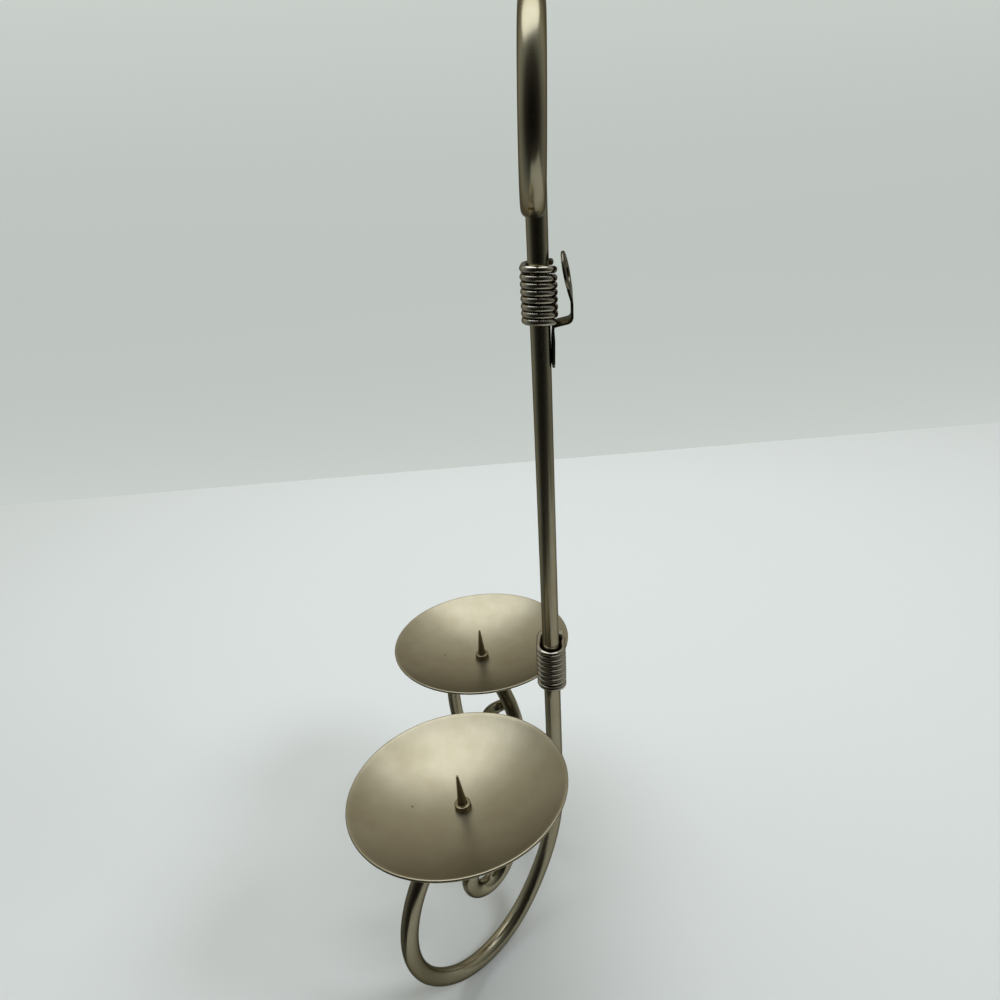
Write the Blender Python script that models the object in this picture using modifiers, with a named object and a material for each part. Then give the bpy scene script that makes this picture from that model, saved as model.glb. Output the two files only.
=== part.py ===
"""Wall candle sconce: two bent rods bound side by side, each carrying a spun dish with a spike.

Metres, +Z up. The wall is the plane Y = 0 and +Y points into it. +X runs along the wall, to the
right for someone who faces it. The origin is on the back of the hanger, where it meets the wall.
"""

import math

import bmesh
import bpy
import numpy as np
from mathutils import Matrix

OBJECT_NAME = "wall_candle_sconce"

# Rods
ROD_D = 0.0080
ROD_GAP = 0.0003  # between the two rods, which lie side by side
STAND_OFF = 0.0126  # from the wall to the axes of the rods
STEM_ABOVE = 0.0640  # the straight stem ends this far above the origin
ROD_SIDES = 12

# Crown of the lower scroll, its highest point under the dish
CROWN_BELOW = 0.2130  # from the origin down to the rod's axis there
CROWN_REACH = 0.0640  # outward from the stem's axis

# Lower scroll of each rod: arcs in one upright plane, each tangent to the one before it
HEEL_R = 0.0780
HEEL_SWEEP = 50.0
FOOT_SWEEP = 79.0
FRONT_R = 0.0610
FRONT_SWEEP = 88.5
CROWN_R = 0.0315
CROWN_SWEEP = 185.7
CURL_R = 0.0130
CURL_SWEEP = 167.0
LEAF_R = 0.0720
LEAF_SWEEP = 20.0

# Upper scroll of each rod
TOP_ARC_R = 0.0275
TOP_ARC_SWEEP = 180.0
TOP_SIDE_R = 0.0262
TOP_SIDE_SWEEP = 95.0
TOP_CURL_R = 0.0130
TOP_CURL_SWEEP = 150.0
TOP_LEAF_R = 0.0440
TOP_LEAF_SWEEP = 16.0
TOP_LEAN = 1.7  # degrees its plane leans, the lower part towards the front

# Hammered ends of the rods: they thin and widen towards a round tip
HAMMERED_LENGTH = 0.0480  # at the lower end
TOP_HAMMERED_LENGTH = 0.0850
HAMMERED_THICK = 0.0034
HAMMERED_WIDE = 0.0092
TIP_ROUND = 0.0050

# Dishes
DISH_D = 0.0980
DISH_DEPTH = 0.0130
SHEET = 0.0012
DISH_STEPS = 48

# Spikes, turned in one piece with their collar and shank
SPIKE_D = 0.0042
SPIKE_H = 0.0152
SPIKE_TIP_D = 0.0010
COLLAR_D = 0.0073
COLLAR_H = 0.0025
COLLAR_CHAMFER = 0.0004
SHANK_D = 0.0030
SHANK_IN_ROD = 0.0045
SPIKE_STEPS = 20

# The sconce is bent by hand, so its two sides differ. Angles are in degrees.
RIGHT_ARM_TURN = 39.4  # from the wall's plane to the front
LEFT_ARM_TURN = 40.5
RIGHT_SEAT_REACH = 0.0634  # outward from the stem's axis to where the dish's axis meets the rod
LEFT_SEAT_REACH = 0.0619
RIGHT_DISH_TILT = (-4.2, -4.8)  # of the dish's axis from upright, along the wall and into it
LEFT_DISH_TILT = (-3.3, -1.8)
RIGHT_TOP_TURN = 1.5  # of the upper scroll, from the wall's plane to the wall
LEFT_TOP_TURN = -1.5

# Wire wraps round both rods
WIRE_D = 0.0022
WIRE_TURNS = 8
WRAP_SLACK = 0.0007  # between the turns and the rods
WIRE_BULGE = 0.0003  # how far the flanks of a turn bow out between the rods
UPPER_WRAP_PITCH = 0.00266
UPPER_WRAP_TILT = 5.0  # degrees from level, the left side lower
UPPER_WRAP_ENDS = (0.17, 0.17)  # share of a turn missing at the top and at the bottom
UPPER_WRAP_RISE = 0.0121  # from the hanger's shelf, at the leg, to the middle of the wrap
LOWER_WRAP_PITCH = 0.00297
LOWER_WRAP_TILT = 6.0
LOWER_WRAP_ENDS = (0.17, 0.08)
LOWER_WRAP_BELOW = 0.1680  # from the origin down to its middle
LOOP_POINTS = 24

# Hanger: a bent tab with a round head, behind the rods
TAB_T = 0.0010
TAB_W = 0.0110
TAB_LEG = 0.0162  # height of the leg that lies on the rods
TAB_SHELF_Z = -0.0065  # middle of the sheet where the shelf leaves the leg
TAB_SHELF_RISE = 0.0015  # over its run to the wall
TAB_BENDS = (0.0013, 0.0022, 0.0100)  # at the leg, at the neck and under the head
TAB_NECK_TOP = 0.0024  # the tab starts to lean away from the wall here
HEAD_D = 0.0150
HEAD_TOP_Z = 0.0198
HEAD_LEAN = 10.5
EYE_D = 0.0080

# Gap between pieces that touch on the real object
SEAT = 0.0003

ROD_R = ROD_D / 2
ROD_X = (ROD_D + ROD_GAP) / 2
ROD_Y = -STAND_OFF
WIRE_R = WIRE_D / 2
CROWN_CENTRE_BELOW = CROWN_BELOW + CROWN_R


def clear_scene():
    for obj in list(bpy.data.objects):
        bpy.data.objects.remove(obj, do_unlink=True)


def make_collection(name, hidden=False):
    collection = bpy.data.collections.new(name)
    bpy.context.scene.collection.children.link(collection)
    collection.hide_render = hidden
    return collection


def metal(name, color, roughness):
    material = bpy.data.materials.new(name)
    material.use_nodes = True
    shader = material.node_tree.nodes["Principled BSDF"]
    shader.inputs["Base Color"].default_value = (*color, 1)
    shader.inputs["Metallic"].default_value = 1
    shader.inputs["Roughness"].default_value = roughness
    return material


def add_mesh(name, mesh, collection, material=None):
    obj = bpy.data.objects.new(name, mesh)
    collection.objects.link(obj)
    if material:
        mesh.materials.append(material)
        mesh.shade_smooth()
        mesh.set_sharp_from_angle(angle=math.radians(40))
    return obj


def arc_chain(start, heading, arcs, turn):
    """Points and headings along tangent arcs of (radius, sweep in degrees), turning one way."""
    places = [(start, heading)]
    for radius, sweep in arcs:
        steps = max(2, round(sweep / (9 if radius > 0.02 else 11)))
        (x, z), begin = places[-1]
        for step in range(1, steps + 1):
            now = begin + turn * math.radians(sweep) * step / steps
            at_x = x + turn * radius * (math.sin(now) - math.sin(begin))
            at_z = z - turn * radius * (math.cos(now) - math.cos(begin))
            places.append(((at_x, at_z), now))
    return places


def foot_radius():
    """The second arc's radius that brings the crown to its reach."""
    down = math.radians(-90)
    heel_end = down + math.radians(HEEL_SWEEP)
    foot_end = heel_end + math.radians(FOOT_SWEEP)
    front_end = foot_end + math.radians(FRONT_SWEEP)
    others = HEEL_R * (math.sin(heel_end) - math.sin(down))
    others += FRONT_R * (math.sin(front_end) - math.sin(foot_end))
    others += CROWN_R * (math.sin(math.pi) - math.sin(front_end))
    return (CROWN_REACH - others) / (math.sin(foot_end) - math.sin(heel_end))


def lower_arcs():
    return [
        (HEEL_R, HEEL_SWEEP),
        (foot_radius(), FOOT_SWEEP),
        (FRONT_R, FRONT_SWEEP),
        (CROWN_R, CROWN_SWEEP),
        (CURL_R, CURL_SWEEP),
        (LEAF_R, LEAF_SWEEP),
    ]


def upper_arcs():
    return [
        (TOP_ARC_R, TOP_ARC_SWEEP),
        (TOP_SIDE_R, TOP_SIDE_SWEEP),
        (TOP_CURL_R, TOP_CURL_SWEEP),
        (TOP_LEAF_R, TOP_LEAF_SWEEP),
    ]


def stem_below():
    """How far below the origin the straight stem ends, so that the crown has its height."""
    places = arc_chain((0, 0), math.radians(-90), lower_arcs()[:3], 1)
    (_, z), heading = places[-1]
    return CROWN_CENTRE_BELOW + z + CROWN_R * math.cos(heading)


def plane_axes(side, angle):
    """Outward direction and normal of an upright plane turned by angle from the wall to the front."""
    outward = np.array([side * math.cos(angle), -math.sin(angle), 0.0])
    normal = np.array([side * math.sin(angle), math.cos(angle), 0.0])
    return outward, normal


def rounded_tip(from_tip):
    """Share of the full section, at a distance from the tip of a rod."""
    if from_tip >= TIP_ROUND:
        return 1.0
    near = 1 - from_tip / TIP_ROUND
    return math.sqrt(max(1 - near * near, 0.06))


def section(from_tip, hammered):
    """Half thickness, half width and squareness of the rod at a distance from its tip."""
    flat = max(0.0, 1 - from_tip / hammered)
    flat = flat * flat * (3 - 2 * flat)
    share = rounded_tip(from_tip)
    thick = ROD_R + (HAMMERED_THICK / 2 - ROD_R) * flat
    wide = ROD_R + (HAMMERED_WIDE / 2 - ROD_R) * flat
    return thick * (0.55 + 0.45 * share), wide * share, 2 + flat


def with_tip(places):
    """Adds stations to the last stretch, so that the tip comes out round."""
    (end, end_heading) = places[-1]
    (before, before_heading) = places[-2]
    length = math.dist(end, before)
    extra = []
    for from_tip in (TIP_ROUND, TIP_ROUND * 0.6, TIP_ROUND * 0.3, TIP_ROUND * 0.1):
        share = 1 - from_tip / length
        if share > 0:
            at = tuple(b + (e - b) * share for b, e in zip(before, end))
            extra.append((at, before_heading + (end_heading - before_heading) * share))
    return places[:-1] + extra + [places[-1]]


def lean_of_top(z, heading):
    """How far towards the wall the upper scroll's plane leans at a height, eased in past the stem."""
    ease = min(1.0, (math.pi / 2 - heading) / (math.pi / 2))
    return (z - STEM_ABOVE) * math.tan(math.radians(TOP_LEAN)) * ease * ease * (3 - 2 * ease)


def scroll_stations(places, side, angle, hammered, leans=False):
    """Centre, outward-facing in-plane axis, plane normal and section at each place."""
    outward, normal = plane_axes(side, angle)
    base = np.array([side * ROD_X, ROD_Y, 0.0])
    up = np.array([0.0, 0.0, 1.0])
    lengths = [0.0]
    for (a, _), (b, _) in zip(places, places[1:]):
        lengths.append(lengths[-1] + math.dist(a, b))
    stations = []
    for ((x, z), heading), length in zip(places, lengths):
        centre = base + outward * x + up * z
        if leans:
            centre = centre + normal * lean_of_top(z, heading)
        across = outward * math.sin(heading) - up * math.cos(heading)
        stations.append((centre, across, normal, section(lengths[-1] - length, hammered)))
    return stations


def ring(station):
    centre, across, normal, (thick, wide, power) = station
    points = []
    for i in range(ROD_SIDES):
        angle = 2 * math.pi * i / ROD_SIDES
        c = math.cos(angle)
        s = math.sin(angle)
        along = math.copysign(abs(c) ** (2 / power), c) * thick
        aside = math.copysign(abs(s) ** (2 / power), s) * wide
        points.append(centre + across * along + normal * aside)
    return points


def loft(rings, name):
    """A closed tube through rings of equally many points, with a flat face at each end."""
    mesh = bmesh.new()
    loops = [[mesh.verts.new(point) for point in points] for points in rings]
    for first, second in zip(loops, loops[1:]):
        count = len(first)
        for i in range(count):
            j = (i + 1) % count
            mesh.faces.new((first[i], first[j], second[j], second[i]))
    mesh.faces.new(loops[0])
    mesh.faces.new(loops[-1])
    bmesh.ops.recalc_face_normals(mesh, faces=mesh.faces)
    data = bpy.data.meshes.new(name)
    mesh.to_mesh(data)
    mesh.free()
    return data


def turned(name, profile, steps, collection, material=None):
    """A profile of (radius, height) round its own Z axis. An open one has both ends on the axis."""
    closed = profile[0][0] > 0
    mesh = bpy.data.meshes.new(name)
    points = [(radius, 0, height) for radius, height in profile]
    edges = [(i, i + 1) for i in range(len(points) - 1)]
    if closed:
        edges.append((len(points) - 1, 0))
    mesh.from_pydata(points, edges, [])
    obj = add_mesh(name, mesh, collection)
    screw = obj.modifiers.new("Screw", "SCREW")
    screw.axis = "Z"
    screw.steps = steps
    screw.render_steps = steps
    screw.use_merge_vertices = True
    screw.merge_threshold = 0.00001
    screw.use_smooth_shade = True
    if material:
        mesh.materials.append(material)
    return obj


def place(obj, origin, axis):
    """Stands an object's own Z axis along axis, with its origin at a point."""
    z = np.array(axis) / np.linalg.norm(axis)
    x = np.cross([0.0, 1.0, 0.0], z)
    x /= np.linalg.norm(x)
    y = np.cross(z, x)
    obj.matrix_world = Matrix((
        (x[0], y[0], z[0], origin[0]),
        (x[1], y[1], z[1], origin[1]),
        (x[2], y[2], z[2], origin[2]),
        (0, 0, 0, 1),
    ))


def cut(obj, cutter, operation="DIFFERENCE"):
    boolean = obj.modifiers.new("Cut " + cutter.name, "BOOLEAN")
    boolean.operation = operation
    boolean.object = cutter
    boolean.solver = "EXACT"


def make_cutter(obj):
    obj.hide_render = True
    obj.display_type = "WIRE"


def dish_seat(side, arm_turn, reach, tilt):
    """Where the dish's axis crosses the rod's axis, and the direction of the dish's axis."""
    outward, _ = plane_axes(side, math.radians(arm_turn))
    off_top = reach - CROWN_REACH
    height = math.sqrt(CROWN_R * CROWN_R - off_top * off_top) - CROWN_CENTRE_BELOW
    point = np.array([side * ROD_X, ROD_Y, height]) + outward * reach
    axis = np.array([math.tan(math.radians(tilt[0])), math.tan(math.radians(tilt[1])), 1.0])
    return point, axis / np.linalg.norm(axis)


def dish_lift():
    """From the rod's axis to the middle of the dish's sheet, clear of the crown at any small tilt."""
    half = SHEET / 2
    ball = ball_radius()
    worst = math.radians(8)
    level = CROWN_R + ROD_R + SEAT + half + ball
    along = CROWN_R * math.cos(worst)
    return math.sqrt(along * along - CROWN_R * CROWN_R + level * level) - along - ball


def ball_radius():
    """Radius of the ball that the middle of the dish's sheet lies on."""
    rim = (DISH_D - SHEET) / 2
    return (rim * rim + DISH_DEPTH * DISH_DEPTH) / (2 * DISH_DEPTH)


def dish_profile():
    """Cross-section of the dish: a shallow ball cap of even sheet with a round rim and a hole."""
    half = SHEET / 2
    ball = ball_radius()
    rim_angle = math.asin((DISH_D - SHEET) / 2 / ball)
    hole = (SHANK_D / 2 + SEAT) / ball
    middle = dish_lift() + ball

    def at(angle, radius):
        return radius * math.sin(angle), middle - radius * math.cos(angle)

    rows = 9
    angles = [hole + (rim_angle - hole) * i / rows for i in range(rows + 1)]
    inside = [at(angle, ball - half) for angle in angles]
    outside = [at(angle, ball + half) for angle in reversed(angles)]
    edge = []
    rim_x, rim_z = at(rim_angle, ball)
    for i in range(1, 4):
        turn = rim_angle + math.pi / 2 - math.pi * i / 4
        edge.append((rim_x + half * math.cos(turn), rim_z + half * math.sin(turn)))
    return inside + edge + outside


def spike_profile():
    """From the tip down the outer side: cone, collar, shank. Heights are from the rod's axis."""
    # The dish's inside rises a little under the collar's edge
    ball = ball_radius() - SHEET / 2
    rise = ball - math.sqrt(ball * ball - COLLAR_D * COLLAR_D / 4)
    collar_foot = dish_lift() + SHEET / 2 + rise + SEAT
    collar_top = collar_foot + COLLAR_H
    shank_end = ROD_R - SHANK_IN_ROD
    return [
        (0, collar_top + SPIKE_H),
        (SPIKE_TIP_D / 2, collar_top + SPIKE_H),
        (SPIKE_D / 2, collar_top),
        (COLLAR_D / 2 - COLLAR_CHAMFER, collar_top),
        (COLLAR_D / 2, collar_top - COLLAR_CHAMFER),
        (COLLAR_D / 2, collar_foot),
        (SHANK_D / 2, collar_foot),
        (SHANK_D / 2, shank_end),
        (0, shank_end),
    ]


def shank_hole(name, cutters):
    """A cutter for the blind hole that takes the shank."""
    radius = SHANK_D / 2 + SEAT
    bottom = ROD_R - SHANK_IN_ROD - SEAT
    top = ROD_R + 2 * SEAT
    profile = [(0, top), (radius, top), (radius, bottom), (0, bottom)]
    obj = turned(name, profile, SPIKE_STEPS, cutters)
    make_cutter(obj)
    return obj


def make_rod(name, side, arm_turn, top_turn, parts, material):
    lower = with_tip(arc_chain((0, -stem_below()), math.radians(-90), lower_arcs(), 1))
    upper = with_tip(arc_chain((0, STEM_ABOVE), math.radians(90), upper_arcs(), -1))
    down = scroll_stations(lower, side, math.radians(arm_turn), HAMMERED_LENGTH)
    rise = scroll_stations(upper, side, math.radians(-top_turn), TOP_HAMMERED_LENGTH, leans=True)
    rings = [ring(station) for station in reversed(down)]
    # Running up the rod the in-plane axis of the upper scroll points the other way round
    rings += [ring((c, -a, n, s)) for c, a, n, s in rise]
    return add_mesh(name, loft(rings, name), parts, material)


def wrap_outline():
    """Plan points of one turn, clear of both rods, evenly spaced, from the middle of the wall side."""
    radius = ROD_R + WRAP_SLACK + WIRE_R
    radius /= math.cos(math.pi / LOOP_POINTS)
    fine = []
    for i in range(720):
        angle = 2 * math.pi * i / 720 + math.pi / 2
        x = math.cos(angle) * radius
        y = math.sin(angle) * radius
        fine.append((x + math.copysign(ROD_X, x), y))
    flank = []
    for i in range(200):
        x = ROD_X * (1 - 2 * i / 200)
        flank.append((x, radius + WIRE_BULGE * math.cos(math.pi * x / ROD_X / 2) ** 2))
    left = [point for point in fine if point[0] < -ROD_X]
    right = [point for point in fine if point[0] > ROD_X]
    loop = flank + left + [(-x, -y) for x, y in flank] + right
    loop = loop[100:] + loop[:100]
    loop = np.array(loop + loop[:1])
    lengths = np.concatenate([[0], np.cumsum(np.hypot(*np.diff(loop, axis=0).T))])
    at = np.linspace(0, lengths[-1], LOOP_POINTS + 1)[:-1]
    return [(np.interp(a, lengths, loop[:, 0]), np.interp(a, lengths, loop[:, 1])) for a in at]


def wrap_points(middle_z, pitch, tilt, ends):
    """The wire's route: down in turns from the wall side, with a straight end a wire's width long."""
    outline = wrap_outline()
    total = WIRE_TURNS * LOOP_POINTS
    skip_top = round(ends[0] * LOOP_POINTS)
    skip_bottom = round(ends[1] * LOOP_POINTS)
    top = middle_z + pitch * WIRE_TURNS / 2
    slope = math.tan(math.radians(tilt))
    points = []
    for i in range(skip_top, total + 1 - skip_bottom):
        x, y = outline[i % LOOP_POINTS]
        points.append(np.array([x, ROD_Y + y, top - pitch * i / LOOP_POINTS + slope * x]))
    first = points[0] - points[1]
    last = points[-1] - points[-2]
    start = points[0] + first / np.linalg.norm(first) * WIRE_D
    end = points[-1] + last / np.linalg.norm(last) * WIRE_D
    return [start] + points + [end]


def least_self_gap(points):
    """Least distance between the surfaces of neighbouring turns, measured on points of the route."""
    points = np.array(points)
    fine = np.concatenate([points[:-1] + (points[1:] - points[:-1]) * k / 4 for k in range(4)])
    order = np.concatenate([np.arange(len(points) - 1) + k / 4 for k in range(4)])
    apart = np.linalg.norm(fine[:, None] - fine[None], axis=2)
    other_turn = abs(order[:, None] - order[None]) > LOOP_POINTS / 2
    return apart[other_turn].min() - WIRE_D


def make_wrap(name, points, parts, material):
    print(f"{name}: least gap between turns {least_self_gap(points) * 1000:.2f} mm")
    curve = bpy.data.curves.new(name, "CURVE")
    curve.dimensions = "3D"
    curve.bevel_depth = WIRE_R
    curve.bevel_resolution = 1
    curve.use_fill_caps = True
    spline = curve.splines.new("POLY")
    spline.points.add(len(points) - 1)
    for target, point in zip(spline.points, points):
        target.co = (*point, 1)
    curve.materials.append(material)
    obj = bpy.data.objects.new(name, curve)
    parts.objects.link(obj)
    return obj


def rounded_route(corners, radii):
    """A line through corners, with an arc of the given radius at each inner one."""
    corners = np.array(corners)
    route = [corners[0]]
    for before, corner, after, radius in zip(corners, corners[1:], corners[2:], radii):
        to_before = (before - corner) / np.linalg.norm(before - corner)
        to_after = (after - corner) / np.linalg.norm(after - corner)
        half = math.acos(float(to_before @ to_after)) / 2
        middle = to_before + to_after
        centre = corner + middle / np.linalg.norm(middle) * radius / math.sin(half)
        first = corner + to_before * radius / math.tan(half) - centre
        last = corner + to_after * radius / math.tan(half) - centre
        steps = 6 if half < 1.4 else 3
        sweep = math.pi - 2 * half
        for i in range(steps + 1):
            share = i / steps
            mix = first * math.sin((1 - share) * sweep) + last * math.sin(share * sweep)
            route.append(centre + mix / math.sin(sweep))
    return route + [corners[-1]]


def tab_route():
    """Middle line of the bent tab as (Y, Z), from the foot of the leg to the top of the head."""
    leg_y = ROD_Y + ROD_R + SEAT + TAB_T / 2
    neck_y = -TAB_T / 2
    head_y = neck_y - (HEAD_TOP_Z - TAB_NECK_TOP) * math.tan(math.radians(HEAD_LEAN))
    corners = [
        (leg_y, TAB_SHELF_Z - TAB_LEG),
        (leg_y, TAB_SHELF_Z),
        (neck_y, TAB_SHELF_Z + TAB_SHELF_RISE),
        (neck_y, TAB_NECK_TOP),
        (head_y, HEAD_TOP_Z),
    ]
    return rounded_route(corners, TAB_BENDS)


def offset_route(route, distance):
    """The route moved sideways, each point along the mean of its two stretches' normals."""
    route = np.array(route)
    steps = np.diff(route, axis=0)
    normals = np.stack([-steps[:, 1], steps[:, 0]], 1)
    normals /= np.linalg.norm(normals, axis=1)[:, None]
    joint = np.concatenate([normals[:1], normals[:-1] + normals[1:], normals[-1:]])
    joint /= np.linalg.norm(joint, axis=1)[:, None]
    square = np.concatenate([[1.0], (joint[1:-1] * normals[1:]).sum(1), [1.0]])
    return route + joint * (distance / square)[:, None]


def flat_shape(name, outlines, half_depth, collection):
    """A prism from closed outlines in the curve's own XY plane, as a welded mesh."""
    curve = bpy.data.curves.new(name, "CURVE")
    curve.dimensions = "2D"
    curve.fill_mode = "BOTH"
    curve.extrude = half_depth
    for outline in outlines:
        spline = curve.splines.new("POLY")
        spline.points.add(len(outline) - 1)
        for target, (x, y) in zip(spline.points, outline):
            target.co = (x, y, 0, 1)
        spline.use_cyclic_u = True
    obj = bpy.data.objects.new(name + "_curve", curve)
    collection.objects.link(obj)
    bpy.context.view_layer.update()
    graph = bpy.context.evaluated_depsgraph_get()
    mesh = bpy.data.meshes.new_from_object(obj.evaluated_get(graph))
    bpy.data.objects.remove(obj, do_unlink=True)
    shape = bmesh.new()
    shape.from_mesh(mesh)
    bmesh.ops.remove_doubles(shape, verts=shape.verts, dist=0.000001)
    bmesh.ops.recalc_face_normals(shape, faces=shape.faces)
    shape.to_mesh(mesh)
    shape.free()
    mesh.name = name
    return mesh


def tab_face():
    """Front outline of the tab as (X, Z): a strip with a round head."""
    half = TAB_W / 2
    head = HEAD_D / 2
    head_z = HEAD_TOP_Z - head
    foot_z = TAB_SHELF_Z - TAB_LEG
    corner = half * 0.4
    start = math.asin(half / head)
    outline = [(-half, foot_z + corner), (-half + corner, foot_z)]
    outline += [(half - corner, foot_z), (half, foot_z + corner)]
    for i in range(25):
        angle = -math.pi / 2 + start + (2 * math.pi - 2 * start) * i / 24
        outline.append((head * math.cos(angle), head_z + head * math.sin(angle)))
    return outline


def make_hanger(name, parts, cutters, material):
    route = tab_route()
    inner = offset_route(route, TAB_T / 2)
    outer = offset_route(route, -TAB_T / 2)
    side_view = [tuple(p) for p in inner] + [tuple(p) for p in outer[::-1]]
    mesh = flat_shape(name, [side_view], HEAD_D / 2, parts)
    hanger = add_mesh(name, mesh, parts, material)
    # The curve's own X, Y and Z become the object's Y, Z and X
    hanger.matrix_world = Matrix(((0, 0, 1, 0), (1, 0, 0, 0), (0, 1, 0, 0), (0, 0, 0, 1)))

    face = flat_shape("tab_outline", [tab_face()], STAND_OFF, cutters)
    blank = add_mesh("tab_outline", face, cutters)
    blank.matrix_world = Matrix(((1, 0, 0, 0), (0, 0, -1, 0), (0, 1, 0, 0), (0, 0, 0, 1)))
    make_cutter(blank)
    cut(hanger, blank, "INTERSECT")

    bpy.ops.mesh.primitive_cylinder_add(vertices=24, radius=EYE_D / 2, depth=4 * TAB_T)
    eye = bpy.context.object
    eye.name = "eye_cutter"
    for collection in list(eye.users_collection):
        collection.objects.unlink(eye)
    cutters.objects.link(eye)
    eye_z = HEAD_TOP_Z - HEAD_D / 2
    lean = math.radians(HEAD_LEAN)
    eye_y = -TAB_T / 2 - (eye_z - TAB_NECK_TOP) * math.tan(lean)
    place(eye, (0, eye_y, eye_z), (0, math.cos(lean), math.sin(lean)))
    make_cutter(eye)
    cut(hanger, eye)
    return hanger


def main():
    clear_scene()
    parts = make_collection(OBJECT_NAME)
    cutters = make_collection("cutters", hidden=True)
    rod_metal = metal("satin_rod", (0.50, 0.46, 0.38), 0.32)
    dish_metal = metal("satin_dish", (0.62, 0.58, 0.49), 0.36)
    wire_metal = metal("bright_wire", (0.42, 0.39, 0.34), 0.25)
    spike_metal = metal("dark_spike", (0.36, 0.32, 0.26), 0.30)
    tab_metal = metal("satin_tab", (0.40, 0.37, 0.31), 0.35)

    sides = (
        ("right", 1, RIGHT_ARM_TURN, RIGHT_TOP_TURN, RIGHT_SEAT_REACH, RIGHT_DISH_TILT),
        ("left", -1, LEFT_ARM_TURN, LEFT_TOP_TURN, LEFT_SEAT_REACH, LEFT_DISH_TILT),
    )
    for label, side, arm_turn, top_turn, reach, tilt in sides:
        seat, axis = dish_seat(side, arm_turn, reach, tilt)
        rod = make_rod("rod_" + label, side, arm_turn, top_turn, parts, rod_metal)
        hole = shank_hole("shank_hole_" + label, cutters)
        place(hole, seat, axis)
        cut(rod, hole)
        dish = turned("dish_" + label, dish_profile(), DISH_STEPS, parts, dish_metal)
        place(dish, seat, axis)
        spike = turned("spike_" + label, spike_profile(), SPIKE_STEPS, parts, spike_metal)
        place(spike, seat, axis)

    upper = (TAB_SHELF_Z + UPPER_WRAP_RISE, UPPER_WRAP_PITCH, UPPER_WRAP_TILT, UPPER_WRAP_ENDS)
    lower = (-LOWER_WRAP_BELOW, LOWER_WRAP_PITCH, LOWER_WRAP_TILT, LOWER_WRAP_ENDS)
    make_wrap("upper_wire_wrap", wrap_points(*upper), parts, wire_metal)
    make_wrap("lower_wire_wrap", wrap_points(*lower), parts, wire_metal)
    make_hanger("wall_hanger", parts, cutters, tab_metal)
    print(f"foot radius {foot_radius() * 1000:.1f} mm, stem ends {stem_below() * 1000:.1f} mm down")


main()
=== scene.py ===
"""Wall candle sconce: pieces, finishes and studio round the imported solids.

Metres. The wall is the plane Y = 0, +X runs along it and +Z is up.
"""

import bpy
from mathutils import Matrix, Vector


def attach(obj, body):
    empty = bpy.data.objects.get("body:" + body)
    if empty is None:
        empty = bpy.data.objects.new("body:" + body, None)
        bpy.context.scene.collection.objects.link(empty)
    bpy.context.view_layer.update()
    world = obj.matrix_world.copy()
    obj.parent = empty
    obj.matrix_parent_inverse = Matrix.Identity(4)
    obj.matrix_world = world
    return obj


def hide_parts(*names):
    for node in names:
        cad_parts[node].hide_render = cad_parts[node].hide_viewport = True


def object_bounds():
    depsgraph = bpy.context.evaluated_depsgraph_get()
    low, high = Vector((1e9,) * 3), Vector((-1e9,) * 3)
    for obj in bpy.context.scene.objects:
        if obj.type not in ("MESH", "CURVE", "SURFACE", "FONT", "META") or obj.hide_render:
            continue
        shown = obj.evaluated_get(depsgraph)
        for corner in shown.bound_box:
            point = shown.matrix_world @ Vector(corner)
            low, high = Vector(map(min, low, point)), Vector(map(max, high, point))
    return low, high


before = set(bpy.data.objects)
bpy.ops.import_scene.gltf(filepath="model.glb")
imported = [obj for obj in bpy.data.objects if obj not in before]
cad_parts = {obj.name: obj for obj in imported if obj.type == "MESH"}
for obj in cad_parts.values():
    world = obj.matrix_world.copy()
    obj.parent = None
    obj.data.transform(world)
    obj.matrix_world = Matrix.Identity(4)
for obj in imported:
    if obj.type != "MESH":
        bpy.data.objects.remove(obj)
CAD_BOX = [list(corner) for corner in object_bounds()]

import math

import bmesh
import bpy
import numpy as np
from bpy.props import FloatProperty, FloatVectorProperty, PointerProperty
from mathutils import Euler, Matrix, Vector

bl_info = {
    "name": "Wall Candle Sconce",
    "version": (1, 0, 0),
    "blender": (4, 5, 0),
    "location": "3D View > Sidebar > Sconce",
    "description": "Builds a two-candle wall sconce with its satin finishes and a studio",
    "category": "Add Mesh",
}

MM = 0.001
BODY = "root"

# The crown of the lower scroll that a dish stands on, as the solids have it: height of its top, radius,
# reach from the stem, and the rod's distance from the middle
CROWN_TOP = -0.2130
CROWN_RADIUS = 0.0315
CROWN_REACH = 0.0640
CROWN_ASIDE = 0.00415

# Arcs of each rod as (radius, sweep in degrees), tangent to one another in one upright plane. The lower
# ones are the heel, foot, front, crown, curl and leaf.
LOWER_ARCS = (
    (0.0780, 50),
    (0.040187, 79),
    (0.0610, 88.5),
    (CROWN_RADIUS, 185.7),
    (0.0130, 167),
    (0.0720, 20),
)
UPPER_ARCS = ((0.0275, 180), (0.0262, 95), (0.0130, 150), (0.0440, 16))
STEM_TOP = 0.0640
STEM_BOTTOM = -0.249667
STAND_OFF = 0.0126
TOP_LEAN = math.radians(1.7)

# Each side as bent by hand: direction along the wall, turn of the arm and of the upper scroll in
# degrees, reach of the dish, tilt of its axis towards +X and +Y in degrees, and shift of the spike
SIDES = {
    "right": {
        "side": 1,
        "arm_turn": 39.4,
        "top_turn": 1.5,
        "reach": 0.0634,
        "tilt": (-4.2, -4.8),
        "spike_shift": 0.0009,
    },
    "left": {
        "side": -1,
        "arm_turn": 40.5,
        "top_turn": -1.5,
        "reach": 0.0619,
        "tilt": (-3.3, -1.8),
        "spike_shift": -0.0006,
    },
}

# Hammered ends of the rods, each as its length, and its thickness and width at the tip
LOWER_HAMMERED = (0.0300, 0.0064, 0.0096)
UPPER_HAMMERED = (0.0850, 0.0034, 0.0082)
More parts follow.
